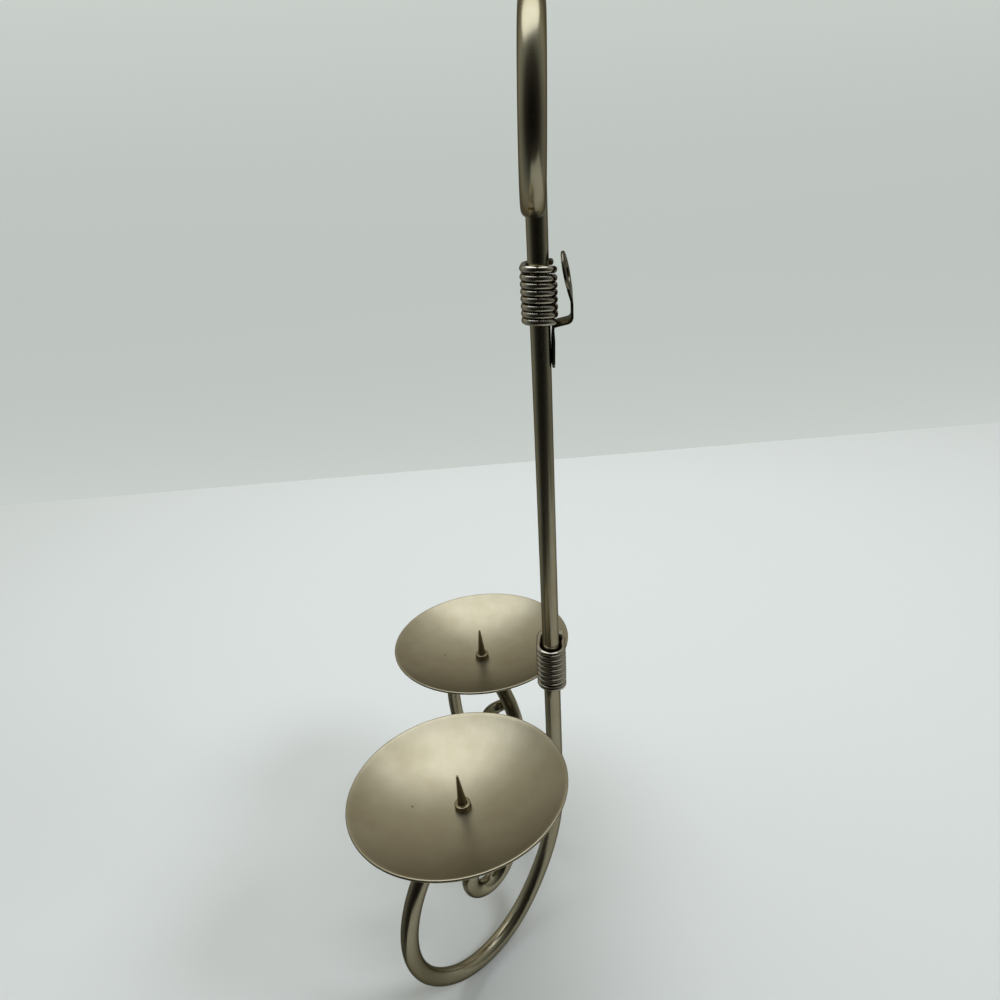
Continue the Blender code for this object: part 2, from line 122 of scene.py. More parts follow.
# Rounding of a tip: its length, its rings as shares of that length, the least square of its width's
# share, and how much thinner it gets
TIP_ROUND = 0.0050
TIP_RINGS = (1.0, 0.8, 0.6, 0.42, 0.28, 0.16, 0.07, 0.02)
TIP_LEAST = 0.02
TIP_THINNING = 0.55
# Steps of the rods' mesh: degrees along an arc, points round, and rings up the stem
ARC_STEP = 3
ROD_SIDES = 36
STEM_RINGS = 40

# Wire wraps: heights of the turns on the right in millimetres, from the top down, how they lean in
# degrees, and where the wire starts and stops, in turns
UPPER_WRAP = {
    "heights": (15.13, 11.99, 9.36, 6.77, 4.22, 1.37, -1.15, -3.70),
    "lean": 5.0,
    "start": 0.14,
    "stop": -0.12,
}
LOWER_WRAP = {
    "heights": (-156.6, -159.5, -162.3, -165.1, -167.9, -170.7, -173.5, -176.9),
    "lean": 6.0,
    "start": 0.14,
    "stop": -0.05,
}
# Air between wire and rods, steps of a turn, the right side's place in it, and the height that the
# wire starts above its first turn, as a share of the next step down
WRAP_SLACK = 0.00035
TURN_STEPS = 48
RIGHT_SHARE = 0.75
WIRE_LEAD = 0.6

# Hanger: corners of its side view as (Y, Z), and the bend at each inner one
TAB_CORNERS = (
    (-0.0081, -0.0227),
    (-0.0077, -0.0065),
    (-0.0005, -0.0050),
    (-0.0005, 0.0024),
    (-0.00372, 0.0198),
)
TAB_BENDS = (0.0013, 0.0022, 0.0100)
TAB_LEAN = math.radians(10.5)
TAB_CUT = 0.0004
# Twist of its head and of its leg, eased in along the strip
HEAD_TWIST = math.radians(5.5)
HEAD_TWIST_LEAD = 0.0040
LEG_TWIST = math.radians(-4.0)
LEG_TWIST_END = 0.0160
TWIST_EASE = 0.0060

# Dishes: the sheet's middle above the rod's axis, and how the underside is pressed down there
DISH_LIFT = 0.0051343
DISH_SIDES = 160
PRESS_DEPTH = 0.00034
PRESS_RADIUS = 0.0052
PRESS_EASE = 0.0022

# Spikes: the collar, and the shank with its foot above the rod's axis
COLLAR_RADIUS = 0.00365
COLLAR_HEIGHT = 0.0028
SHANK_RADIUS = 0.0015
SHANK_FOOT = 0.0032
SPIKE_SIDES = 48

# What a pit keeps of the metal's colour, and how fast each part of the colour fades with tarnish
PIT_TONE = (0.38, 0.34, 0.28)
TARNISH_RATE = (1.0, 1.15, 1.5)

# The room: plan as (lowest X, Y) and (highest X, Y), its turn about Z, the radius of its corners and of
# the curve at the backdrop's foot, and the backdrop's height
ROOM_LOW = (-0.631, -1.1)
ROOM_HIGH = (1.3, 1.1)
ROOM_TURN = math.radians(8.27)
ROOM_CORNER = 0.35
COVE = 0.030
BACKDROP_HEIGHT = 2.2
# The lit table under the sconce, as (lowest X, Y) and (highest X, Y)
TABLE_LOW = (-0.56, -0.11)
TABLE_HIGH = (0.33, 0.45)
# The table lies just under the sconce, and the floor just under the table
TABLE_GAP = 0.0002
FLOOR_GAP = 0.00002
# The backdrop's own light is least at one height, grows with the square of the distance from it, and is
# capped
GLOW_HEIGHT = -0.07
GLOW_LEAST = 0.98
GLOW_GROWTH = 1.8
GLOW_MOST = 1.14
# Tones of the room from the backdrop's side to the camera's, as (place, colour)
ROOM_TONES = (
    (0.0, (0.425, 0.412, 0.362)),
    (0.30, (0.360, 0.372, 0.338)),
    (0.50, (0.215, 0.240, 0.230)),
    (0.65, (0.125, 0.140, 0.135)),
    (0.78, (0.040, 0.040, 0.036)),
    (1.0, (0.010, 0.010, 0.009)),
)

# Lamps, each as its size, its place and the point that it faces
LAMP_TINT = (0.92, 1.0, 1.12)
SOFT_LAMP = ((0.94, 1.30), (-0.205, -0.12, 0.80), (-0.205, -0.12, 0.0))
SIDE_LAMP = ((1.1, 1.1), (0.3, 2.2, 2.0), (0, 0, -0.2))

# The photo's camera: place, turns in degrees, focal length and sensor in millimetres, and shift
CAMERA_PLACE = (0.27738, -0.004595, 0.057947)
CAMERA_TURNS = (63.403, 3.3221, 94.0179)
CAMERA_LENS = 26.1
CAMERA_SENSOR = 36.0
CAMERA_SHIFT = (-0.0005, 0.0005)


class SconceShape(bpy.types.PropertyGroup):
    """Sizes of the pieces."""

    rod_diameter: FloatProperty(
        name="Rod diameter",
        description="Thickness of the round bar",
        default=0.0080,
        min=0.002,
        unit="LENGTH",
    )
    rod_spacing: FloatProperty(
        name="Rod spacing",
        description="Between the axes of the two rods",
        default=0.0081,
        min=0.002,
        unit="LENGTH",
    )
    wire_diameter: FloatProperty(
        name="Wire diameter",
        description="Thickness of the binding wire",
        default=0.0026,
        min=0.0005,
        unit="LENGTH",
    )
    dish_diameter: FloatProperty(
        name="Dish diameter",
        description="Outside diameter of a dish",
        default=0.0980,
        min=0.02,
        unit="LENGTH",
    )
    dish_depth: FloatProperty(
        name="Dish depth",
        description="Depth of the dish at its middle",
        default=0.0130,
        min=0.001,
        unit="LENGTH",
    )
    sheet: FloatProperty(
        name="Dish sheet",
        description="Thickness of the spun sheet",
        default=0.0012,
        min=0.0004,
        unit="LENGTH",
    )
    spike_height: FloatProperty(
        name="Spike height",
        description="From the collar to the point",
        default=0.0152,
        min=0.002,
        unit="LENGTH",
    )
    tab_thickness: FloatProperty(
        name="Hanger thickness",
        description="Thickness of the hanger's strip",
        default=0.0010,
        min=0.0004,
        unit="LENGTH",
    )
    tab_width: FloatProperty(
        name="Hanger width",
        description="Width of the hanger's strip",
        default=0.0110,
        min=0.003,
        unit="LENGTH",
    )
    head_diameter: FloatProperty(
        name="Hanger head",
        description="Diameter of the hanger's round head",
        default=0.0150,
        min=0.004,
        unit="LENGTH",
    )
    eye_diameter: FloatProperty(
        name="Hanger eye",
        description="Diameter of the hole for a nail",
        default=0.0080,
        min=0.002,
        unit="LENGTH",
    )


class SconceFinish(bpy.types.PropertyGroup):
    """Colours of the finishes."""

    rod_colour: FloatVectorProperty(
        name="Rods",
        description="Satin plating of the rods",
        default=(0.330, 0.292, 0.205),
        min=0,
        max=1,
        size=3,
        subtype="COLOR",
    )
    dish_colour: FloatVectorProperty(
        name="Dishes",
        description="Satin plating of the dishes",
        default=(0.322, 0.284, 0.200),
        min=0,
        max=1,
        size=3,
        subtype="COLOR",
    )
    wire_colour: FloatVectorProperty(
        name="Wire",
        description="Binding wire",
        default=(0.400, 0.360, 0.295),
        min=0,
        max=1,
        size=3,
        subtype="COLOR",
    )
    spike_colour: FloatVectorProperty(
        name="Spikes",
        description="Turned spikes",
        default=(0.260, 0.215, 0.140),
        min=0,
        max=1,
        size=3,
        subtype="COLOR",
    )
    tab_colour: FloatVectorProperty(
        name="Hanger",
        description="Hanger's strip",
        default=(0.215, 0.195, 0.140),
        min=0,
        max=1,
        size=3,
        subtype="COLOR",
    )


class SconceStudio(bpy.types.PropertyGroup):
    """Floor, backdrop and light."""

    floor_colour: FloatVectorProperty(
        name="Floor",
        description="Paper of the floor",
        default=(0.770, 0.762, 0.715),
        min=0,
        max=1,
        size=3,
        subtype="COLOR",
    )
    wall_colour: FloatVectorProperty(
        name="Backdrop",
        description="Paper of the backdrop",
        default=(0.515, 0.552, 0.520),
        min=0,
        max=1,
        size=3,
        subtype="COLOR",
    )
    sky_strength: FloatProperty(
        name="Sky",
        description="Brightness of the light from all round",
        default=1.0,
        min=0,
    )
    lamp_power: FloatProperty(
        name="Lamp",
        description="Power of the soft lamp overhead",
        default=7.5,
        min=0,
        unit="POWER",
    )
    side_power: FloatProperty(
        name="Side lamp",
        description="Power of the lamp far off on the camera's right",
        default=28.0,
        min=0,
        unit="POWER",
    )


def shape():
    return bpy.context.scene.sconce_shape


def finish():
    return bpy.context.scene.sconce_finish


def studio():
    return bpy.context.scene.sconce_studio


# Meshes


def add_piece(name, data, material, sharp=40):
    """A piece of the sconce from a mesh or a curve. A mesh has sharp edges past an angle in degrees."""
    obj = bpy.data.objects.new(name, data)
    bpy.context.scene.collection.objects.link(obj)
    data.materials.append(material)
    if isinstance(data, bpy.types.Mesh):
        data.shade_smooth()
        data.set_sharp_from_angle(angle=math.radians(sharp))
    return obj


def stand_on(obj, origin, axis):
    """Stands the object's own Z axis along axis, with its origin at a point."""
    z = Vector(axis).normalized()
    x = Vector((0, 1, 0)).cross(z).normalized()
    y = z.cross(x)
    rows = [(x[i], y[i], z[i], origin[i]) for i in range(3)]
    obj.matrix_world = Matrix((*rows, (0, 0, 0, 1)))


def loft(name, rings):
    """A closed skin through rings of equally many points, with a fan over each end."""
    mesh = bmesh.new()
    loops = [[mesh.verts.new(point) for point in ring] for ring in rings]
    for first, second in zip(loops, loops[1:]):
        for i in range(len(first)):
            j = (i + 1) % len(first)
            mesh.faces.new((first[i], first[j], second[j], second[i]))
    for loop in (loops[0], loops[-1]):
        middle = mesh.verts.new(sum((v.co for v in loop), Vector()) / len(loop))
        for i in range(len(loop)):
            mesh.faces.new((loop[i], loop[(i + 1) % len(loop)], middle))
    bmesh.ops.recalc_face_normals(mesh, faces=mesh.faces)
    data = bpy.data.meshes.new(name)
    mesh.to_mesh(data)
    mesh.free()
    return data


def lathe(name, profile, steps):
    """A profile of (radius, height) round the Z axis. Points on the axis become one vertex."""
    mesh = bmesh.new()
    angles = [2 * math.pi * i / steps for i in range(steps)]
    rows = []
    for radius, height in profile:
        if radius < 1e-7:
            rows.append([mesh.verts.new((0, 0, height))])
            continue
        ring = [(radius * math.cos(a), radius * math.sin(a), height) for a in angles]
        rows.append([mesh.verts.new(point) for point in ring])
    closed = len(rows[0]) > 1
    pairs = list(zip(rows, rows[1:])) + ([(rows[-1], rows[0])] if closed else [])
    for first, second in pairs:
        for i in range(steps):
            j = (i + 1) % steps
            corners = [first[i % len(first)], first[j % len(first)]]
            corners += [second[j % len(second)], second[i % len(second)]]
            mesh.faces.new(list(dict.fromkeys(corners)))
    bmesh.ops.recalc_face_normals(mesh, faces=mesh.faces)
    data = bpy.data.meshes.new(name)
    mesh.to_mesh(data)
    mesh.free()
    return data


def rounded(profile, radii, steps):
    """The profile with its inner corners rounded by the given radii, where 0 keeps a corner."""
    points = [np.array(p, float) for p in profile]
    out = [points[0]]
    for before, corner, after, radius in zip(points, points[1:], points[2:], radii):
        if radius == 0:
            out.append(corner)
            continue
        a = (before - corner) / np.linalg.norm(before - corner)
        b = (after - corner) / np.linalg.norm(after - corner)
        half = math.acos(float(np.clip(a @ b, -1, 1))) / 2
        middle = (a + b) / np.linalg.norm(a + b)
        centre = corner + middle * radius / math.sin(half)
        first = corner + a * radius / math.tan(half) - centre
        last = corner + b * radius / math.tan(half) - centre
        sweep = math.pi - 2 * half
        for i in range(steps + 1):
            share = i / steps
            mix = first * math.sin((1 - share) * sweep) + last * math.sin(share * sweep)
            out.append(centre + mix / math.sin(sweep))
    return out + [points[-1]]


# Rods


def arc_chain(start, heading, arcs, turn):
    """Points and headings along tangent arcs that turn one way."""
    places = [(start, heading)]
    for radius, sweep in arcs:
        steps = max(3, round(sweep / ARC_STEP))
        (x, z), begin = places[-1]
        for step in range(1, steps + 1):
            now = begin + turn * math.radians(sweep) * step / steps
            at_x = x + turn * radius * (math.sin(now) - math.sin(begin))
            at_z = z - turn * radius * (math.cos(now) - math.cos(begin))
            places.append(((at_x, at_z), now))
    return places


def smooth_step(share):
    """The share between 0 and 1, eased at both ends."""
    share = min(1.0, max(0.0, share))
    return share * share * (3 - 2 * share)


def rod_section(from_tip, hammered):
    """Half thickness, half width and squareness of a rod at a distance from its tip."""
    radius = shape().rod_diameter / 2
    reach, tip_thick, tip_wide = hammered
    flat = smooth_step(1 - from_tip / reach)
    share = 1.0
    if from_tip < TIP_ROUND:
        near = 1 - from_tip / TIP_ROUND
        share = math.sqrt(max(1 - near * near, TIP_LEAST))
    thick = radius + (tip_thick / 2 - radius) * flat
    wide = radius + (tip_wide / 2 - radius) * flat
    return thick * (1 - TIP_THINNING + TIP_THINNING * share), wide * share, 2 + flat


def with_round_tip(places):
    """Adds stations near the end, so that the tip comes out round."""
    end, end_heading = places[-1]
    before, before_heading = places[-2]
    gap = math.dist(end, before)
    extra = []
    for share_of_tip in TIP_RINGS:
        share = 1 - TIP_ROUND * share_of_tip / gap
        if share > 0:
            at = tuple(b + (e - b) * share for b, e in zip(before, end))
            extra.append((at, before_heading + (end_heading - before_heading) * share))
    return places[:-1] + extra + [places[-1]]


def rod_rings(places, side, angle, hammered, lift, flip):
    """Rings of points round the rod's line, which lies in an upright plane turned by angle."""
    outward = np.array([side * math.cos(angle), -math.sin(angle), 0.0])
    normal = np.array([side * math.sin(angle), math.cos(angle), 0.0])
    base = np.array([side * shape().rod_spacing / 2, -STAND_OFF, 0.0])
    lengths = [0.0]
    for (a, _), (b, _) in zip(places, places[1:]):
        lengths.append(lengths[-1] + math.dist(a, b))
    rings = []
    for ((x, z), heading), covered in zip(places, lengths):
        centre = base + outward * x + normal * lift(z, heading) + np.array([0, 0, z])
        across = outward * math.sin(heading) - np.array([0, 0, math.cos(heading)])
        across = -across if flip else across
        thick, wide, power = rod_section(lengths[-1] - covered, hammered)
        ring = []
        for i in range(ROD_SIDES):
            turn = 2 * math.pi * i / ROD_SIDES
            c = math.cos(turn)
            s = math.sin(turn)
            along = math.copysign(abs(c) ** (2 / power), c) * thick
            aside = math.copysign(abs(s) ** (2 / power), s) * wide
            ring.append(centre + across * along + normal * aside)
        rings.append(ring)
    return rings


def top_lift(z, heading):
    """How far the upper scroll leans towards the wall, eased in past the stem."""
    return (z - STEM_TOP) * math.tan(TOP_LEAN) * smooth_step((math.pi / 2 - heading) / (math.pi / 2))


def make_rod(label, material):
    """One rod from the tip of its lower scroll to the tip of its upper one."""
    data = SIDES[label]
    lower = with_round_tip(arc_chain((0, STEM_BOTTOM), math.radians(-90), LOWER_ARCS, 1))
    upper = with_round_tip(arc_chain((0, STEM_TOP), math.radians(90), UPPER_ARCS, -1))
    arm = math.radians(data["arm_turn"])
    top_angle = math.radians(-data["top_turn"])
    rings = rod_rings(lower, data["side"], arm, LOWER_HAMMERED, lambda z, heading: 0.0, False)[::-1]
    top = rod_rings(upper, data["side"], top_angle, UPPER_HAMMERED, top_lift, True)
    # The straight stem, with the ring's starting point turning from one plane to the other
    for step in range(1, STEM_RINGS):
        share = step / STEM_RINGS
        rings.append([a + (b - a) * share for a, b in zip(rings[len(lower) - 1], top[0])])
    rod = add_piece("satin_rod_" + label, loft("satin_rod_" + label, rings + top), material)
    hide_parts("rod_" + label)
    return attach(rod, BODY)


# Wire wraps


def wrap_outline(points):
    """Plan points of one turn that lies on both rods, evenly spaced from the middle of the wall side."""
    radius = (shape().rod_diameter + shape().wire_diameter) / 2 + WRAP_SLACK
    half = shape().rod_spacing / 2
    steps = 180
    fine = []
    for i in range(steps):
        fine.append((half * (1 - 2 * i / steps), radius))
    for i in range(steps):
        turn = math.pi / 2 + math.pi * i / steps
        fine.append((-half + radius * math.cos(turn), radius * math.sin(turn)))
    fine += [(-x, -y) for x, y in fine]
    fine = fine[steps // 2:] + fine[:steps // 2]
    fine = np.array(fine + fine[:1])
    lengths = np.concatenate([[0], np.cumsum(np.hypot(*np.diff(fine, axis=0).T))])
    at = np.linspace(0, lengths[-1], points + 1)[:-1]
    return np.stack([np.interp(at, lengths, fine[:, 0]), np.interp(at, lengths, fine[:, 1])], 1)


def make_wrap(name, node, winding, material):
    """A wire wound downwards round both rods."""
    outline = wrap_outline(TURN_STEPS)
    heights = winding["heights"]
    turns = np.arange(len(heights)) + RIGHT_SHARE
    end = len(heights) + winding["stop"]
    first = heights[0] + (heights[0] - heights[1]) * WIRE_LEAD
    last = heights[-1] + (heights[-1] - heights[-2]) * (end - turns[-1])
    knots = np.concatenate([[0.0], turns, [end]])
    levels = np.concatenate([[first], heights, [last]])
    slope = math.tan(math.radians(winding["lean"]))
    right = outline[round(TURN_STEPS * RIGHT_SHARE)][0]
    curve = bpy.data.curves.new(name, "CURVE")
    curve.dimensions = "3D"
    curve.bevel_depth = shape().wire_diameter / 2
    curve.bevel_resolution = 6
    curve.use_fill_caps = True
    route = []
    for i in range(round(winding["start"] * TURN_STEPS), round(end * TURN_STEPS) + 1):
        x, y = outline[i % TURN_STEPS]
        z = np.interp(i / TURN_STEPS, knots, levels) * MM + slope * (x - right)
        route.append((x, y - STAND_OFF, z, 1))
    spline = curve.splines.new("POLY")
    spline.points.add(len(route) - 1)
    for point, place in zip(spline.points, route):
        point.co = place
    wrap = add_piece(name, curve, material)
    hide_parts(node)
    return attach(wrap, BODY)


# Hanger


def tab_line():
    """Middle line of the bent strip as points (Y, Z), and the length along it."""
    line = np.array(rounded(TAB_CORNERS, TAB_BENDS, steps=14))
    lengths = np.concatenate([[0], np.cumsum(np.linalg.norm(np.diff(line, axis=0), axis=1))])
    return line, lengths


def flat_strip(strip_length):
    """The strip before it is bent: X across, Y along, Z its thickness, with softened edges."""
    half = shape().tab_width / 2
    head = shape().head_diameter / 2
    stretch = 1 / math.cos(TAB_LEAN)
    centre = strip_length - head * stretch
    corner = 0.4 * half
    corner_steps = 4
    quarter = [math.pi / 2 * i / corner_steps for i in range(corner_steps + 1)]
    outline = []
    for x_sign, turns in ((-1, quarter), (1, quarter[::-1])):
        for turn in turns:
            x = half - corner + corner * math.cos(turn)
            outline.append((x_sign * x, corner - corner * math.sin(turn)))
    start = math.asin(half / head)
    head_steps = 48
    for i in range(head_steps + 1):
        turn = -math.pi / 2 + start + (2 * math.pi - 2 * start) * i / head_steps
        outline.append((head * math.cos(turn), centre + head * stretch * math.sin(turn)))
    eye = shape().eye_diameter / 2
    eye_steps = 40
    eye_turns = [2 * math.pi * i / eye_steps for i in range(eye_steps)]
    hole = [(eye * math.cos(turn), centre + eye * math.sin(turn)) for turn in eye_turns]
    edge = shape().tab_thickness * 0.22
    curve = bpy.data.curves.new("tab_outline", "CURVE")
    curve.dimensions = "2D"
    curve.fill_mode = "BOTH"
    curve.extrude = shape().tab_thickness / 2 - edge
    curve.bevel_depth = edge
    curve.bevel_resolution = 2
    curve.offset = -edge
    for points in (outline, hole):
        spline = curve.splines.new("POLY")
        spline.points.add(len(points) - 1)
        for point, (x, y) in zip(spline.points, points):
            point.co = (x, y, 0, 1)
        spline.use_cyclic_u = True
    obj = bpy.data.objects.new("tab_outline", curve)
    bpy.context.scene.collection.objects.link(obj)
    bpy.context.view_layer.update()
    mesh = bpy.data.meshes.new_from_object(obj.evaluated_get(bpy.context.evaluated_depsgraph_get()))
    bpy.data.objects.remove(obj, do_unlink=True)
    return mesh


def make_hanger(material):
    """The strip bent along its line, with a little twist in its head and leg."""
    line, lengths = tab_line()
    data = flat_strip(lengths[-1])
    mesh = bmesh.new()
    mesh.from_mesh(data)
    bmesh.ops.remove_doubles(mesh, verts=mesh.verts, dist=1e-6)
    # Cuts across the strip let it bend evenly
    for cut in np.arange(TAB_CUT, lengths[-1] - TAB_CUT / 2, TAB_CUT):
        geometry = mesh.verts[:] + mesh.edges[:] + mesh.faces[:]
        bmesh.ops.bisect_plane(mesh, geom=geometry, plane_co=(0, cut, 0), plane_no=(0, 1, 0), dist=1e-7)
    steps = np.diff(line, axis=0)
    middles = (lengths[1:] + lengths[:-1]) / 2
    angles = np.unwrap(np.arctan2(steps[:, 1], steps[:, 0]))
    head_start = lengths[-1] - shape().head_diameter
    head_twist = math.sin(HEAD_TWIST)
    leg_twist = math.sin(LEG_TWIST)
    for vertex in mesh.verts:
        x, along, depth = vertex.co
        angle = np.interp(along, middles, angles)
        y = np.interp(along, lengths, line[:, 0]) - depth * math.sin(angle)
        z = np.interp(along, lengths, line[:, 1]) + depth * math.cos(angle)
        y -= x * head_twist * smooth_step((along - head_start + HEAD_TWIST_LEAD) / TWIST_EASE)
        y -= x * leg_twist * smooth_step((LEG_TWIST_END - along) / TWIST_EASE)
        vertex.co = (x, min(y, 0.0), z)
    bmesh.ops.recalc_face_normals(mesh, faces=mesh.faces)
    mesh.to_mesh(data)
    mesh.free()
    data.name = "bent_wall_hanger"
    hanger = add_piece("bent_wall_hanger", data, material, sharp=35)
    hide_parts("wall_hanger")
    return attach(hanger, BODY)


# Dishes and spikes


def dish_seat(label):
    """Where a dish's axis crosses the rod's axis, and the direction of the dish's axis."""
    data = SIDES[label]
    turn = math.radians(data["arm_turn"])
    off_top = data["reach"] - CROWN_REACH
    height = math.sqrt(CROWN_RADIUS ** 2 - off_top ** 2) + CROWN_TOP - CROWN_RADIUS
    outward = Vector((data["side"] * math.cos(turn), -math.sin(turn), 0))
    point = Vector((data["side"] * CROWN_ASIDE, -STAND_OFF, height)) + outward * data["reach"]
    tilt_x, tilt_y = (math.radians(tilt) for tilt in data["tilt"])
    axis = Vector((math.tan(tilt_x), math.tan(tilt_y), 1))
    return point, axis.normalized()


def ball_radius():
    """Radius of the ball that the middle of the dish's sheet lies on."""
    rim = (shape().dish_diameter - shape().sheet) / 2
    return (rim * rim + shape().dish_depth ** 2) / (2 * shape().dish_depth)


def dish_profile():
    """A shallow ball cap of even sheet, with a round rim and its middle pressed down on the rod."""
    half = shape().sheet / 2
    ball = ball_radius()
    rim_angle = math.asin((shape().dish_diameter - shape().sheet) / 2 / ball)
    middle = DISH_LIFT + ball
    rows = 30
    angles = [rim_angle * i / rows for i in range(rows + 1)]
    inside = [((ball - half) * math.sin(a), middle - (ball - half) * math.cos(a)) for a in angles]
    under = [((ball + half) * math.sin(a), middle - (ball + half) * math.cos(a)) for a in angles[::-1]]
    under = [(x, z - PRESS_DEPTH * smooth_step((PRESS_RADIUS - x) / PRESS_EASE)) for x, z in under]
    rim_x = ball * math.sin(rim_angle)
    rim_z = middle - ball * math.cos(rim_angle)
    rim_steps = 8
    rim = []
    for i in range(1, rim_steps):
        turn = rim_angle + math.pi / 2 - math.pi * i / rim_steps
        rim.append((rim_x + half * math.cos(turn), rim_z + half * math.sin(turn)))
    return inside + rim + under


def make_dish(label, material):
    """One dish on the crown of its scroll."""
    name = "spun_dish_" + label
    dish = add_piece(name, lathe(name, dish_profile(), DISH_SIDES), material, sharp=60)
    stand_on(dish, *dish_seat(label))
    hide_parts("dish_" + label)
    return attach(dish, BODY)


def spike_profile():
    """From the point down: cone, a small groove, the collar with softened edges, and the shank."""
    ball = ball_radius() - shape().sheet / 2
    rise = ball - math.sqrt(ball * ball - COLLAR_RADIUS * COLLAR_RADIUS)
    foot = DISH_LIFT + shape().sheet / 2 + rise
    top = foot + COLLAR_HEIGHT
    tip = top + shape().spike_height
    corners = [
        (0, tip),
        (0.00050, tip - 0.00012),
        (0.0021, top + 0.0001),
        (0.0022, top - 0.00006),
        (0.0025, top),
        (COLLAR_RADIUS, top - 0.0001),
        (COLLAR_RADIUS, foot - 0.0001),
        (SHANK_RADIUS, foot - 0.00055),
        (SHANK_RADIUS, SHANK_FOOT),
        (0, SHANK_FOOT),
    ]
    radii = (0.00016, 0.00005, 0.00005, 0.0001, 0.00035, 0.0002, 0, 0)
    return [tuple(point) for point in rounded(corners, radii, steps=5)]


def make_spike(label, material):
    """One spike with its collar, at the middle of its dish."""
    name = "turned_spike_" + label
    spike = add_piece(name, lathe(name, spike_profile(), SPIKE_SIDES), material, sharp=50)
    point, axis = dish_seat(label)
    stand_on(spike, point + Vector((0, SIDES[label]["spike_shift"], 0)), axis)
    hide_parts("spike_" + label)
    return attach(spike, BODY)


# Node groups


def node(tree, kind, place, inputs=None, **settings):
    """A shader node with values for its inputs and settings."""
    made = tree.nodes.new("ShaderNode" + kind)
    made.location = place
    for key, value in settings.items():
        setattr(made, key, value)
    for key, value in (inputs or {}).items():
        made.inputs[key].default_value = value
    return made


def new_group(name, inputs, outputs):
    """A shader node group and its texture coordinates. An input is given as (name, kind, default)."""
    tree = bpy.data.node_groups.new(name, "ShaderNodeTree")
    for label, kind, default in inputs:
        socket = tree.interface.new_socket(label, in_out="INPUT", socket_type="NodeSocket" + kind)
        socket.default_value = default
    for label, kind in outputs:
        tree.interface.new_socket(label, in_out="OUTPUT", socket_type="NodeSocket" + kind)
    return tree, node(tree, "TexCoord", (-900, -400))


def group_ends(tree):
    """The input and output nodes of a group."""
    start = tree.nodes.new("NodeGroupInput")
    start.location = (-900, 0)
    end = tree.nodes.new("NodeGroupOutput")
    end.location = (900, 0)
    return start, end


def satin_grain_group():
    """Fine blasted grain with soft clouds: a roughness and a height that vary over the surface."""
    tree, place = new_group(
        "Satin Grain",
        [
            ("Grain Size", "Float", 3000.0),
            ("Cloud Size", "Float", 60.0),
            ("Roughness", "Float", 0.3),
            ("Variation", "Float", 0.05),
        ],
        [("Roughness", "Float"), ("Height", "Float"), ("Cloud", "Float")],
    )
    start, end = group_ends(tree)
    fine = node(tree, "TexNoise", (-600, 200), {"Detail": 3.0, "Roughness": 0.6})
    cloud = node(tree, "TexNoise", (-600, -100), {"Detail": 4.0, "Roughness": 0.55})
    swing = node(tree, "Math", (-300, -100), {1: 0.5}, operation="SUBTRACT")
    scaled = node(tree, "Math", (-100, -100), operation="MULTIPLY")
    rough = node(tree, "Math", (300, 100), operation="ADD")
    fine_swing = node(tree, "Math", (-300, 200), {1: 0.5}, operation="SUBTRACT")
    fine_scaled = node(tree, "Math", (-100, 200), operation="MULTIPLY")
    both = node(tree, "Math", (100, 100), operation="ADD")
    link = tree.links.new
    link(place.outputs["Object"], fine.inputs["Vector"])
    link(place.outputs["Object"], cloud.inputs["Vector"])
    link(start.outputs["Grain Size"], fine.inputs["Scale"])
    link(start.outputs["Cloud Size"], cloud.inputs["Scale"])
    link(cloud.outputs["Fac"], swing.inputs[0])
    link(swing.outputs[0], scaled.inputs[0])
    link(start.outputs["Variation"], scaled.inputs[1])
    link(fine.outputs["Fac"], fine_swing.inputs[0])
    link(fine_swing.outputs[0], fine_scaled.inputs[0])
    link(start.outputs["Variation"], fine_scaled.inputs[1])
    link(scaled.outputs[0], both.inputs[0])
    link(fine_scaled.outputs[0], both.inputs[1])
    link(both.outputs[0], rough.inputs[0])
    link(start.outputs["Roughness"], rough.inputs[1])
    link(rough.outputs[0], end.inputs["Roughness"])
    link(fine.outputs["Fac"], end.inputs["Height"])
    link(cloud.outputs["Fac"], end.inputs["Cloud"])
    return tree


def plating_pits_group():
    """Sparse dark pits in the plating: 1 in a pit and 0 elsewhere."""
    tree, place = new_group(
        "Plating Pits",
        [("Spacing", "Float", 80.0), ("Size", "Float", 0.05), ("Share", "Float", 0.2)],
        [("Pit", "Float")],
    )
    start, end = group_ends(tree)
    cells = node(tree, "TexVoronoi", (-600, 100), {"Randomness": 1.0})
    inside = node(tree, "Math", (-300, 200), operation="LESS_THAN")
    chance = node(tree, "SeparateColor", (-400, -100))
    chosen = node(tree, "Math", (-150, -100), operation="LESS_THAN")
    ragged = node(tree, "TexNoise", (-900, 300), {"Scale": 1500.0, "Detail": 4.0})
    warp = node(tree, "Math", (-600, 350), {1: 0.06}, operation="MULTIPLY")
    edge = node(tree, "Math", (-450, 250), operation="SUBTRACT")
    both = node(tree, "Math", (100, 100), operation="MULTIPLY")
    link = tree.links.new
    link(place.outputs["Object"], cells.inputs["Vector"])
    link(place.outputs["Object"], ragged.inputs["Vector"])
    link(start.outputs["Spacing"], cells.inputs["Scale"])
    link(ragged.outputs["Fac"], warp.inputs[0])
    link(cells.outputs["Distance"], edge.inputs[0])
    link(warp.outputs[0], edge.inputs[1])
    link(edge.outputs[0], inside.inputs[0])
    link(start.outputs["Size"], inside.inputs[1])
    link(cells.outputs["Color"], chance.inputs[0])
    link(chance.outputs[0], chosen.inputs[0])
    link(start.outputs["Share"], chosen.inputs[1])
    link(inside.outputs[0], both.inputs[0])
    link(chosen.outputs[0], both.inputs[1])
    link(both.outputs[0], end.inputs["Pit"])
    return tree


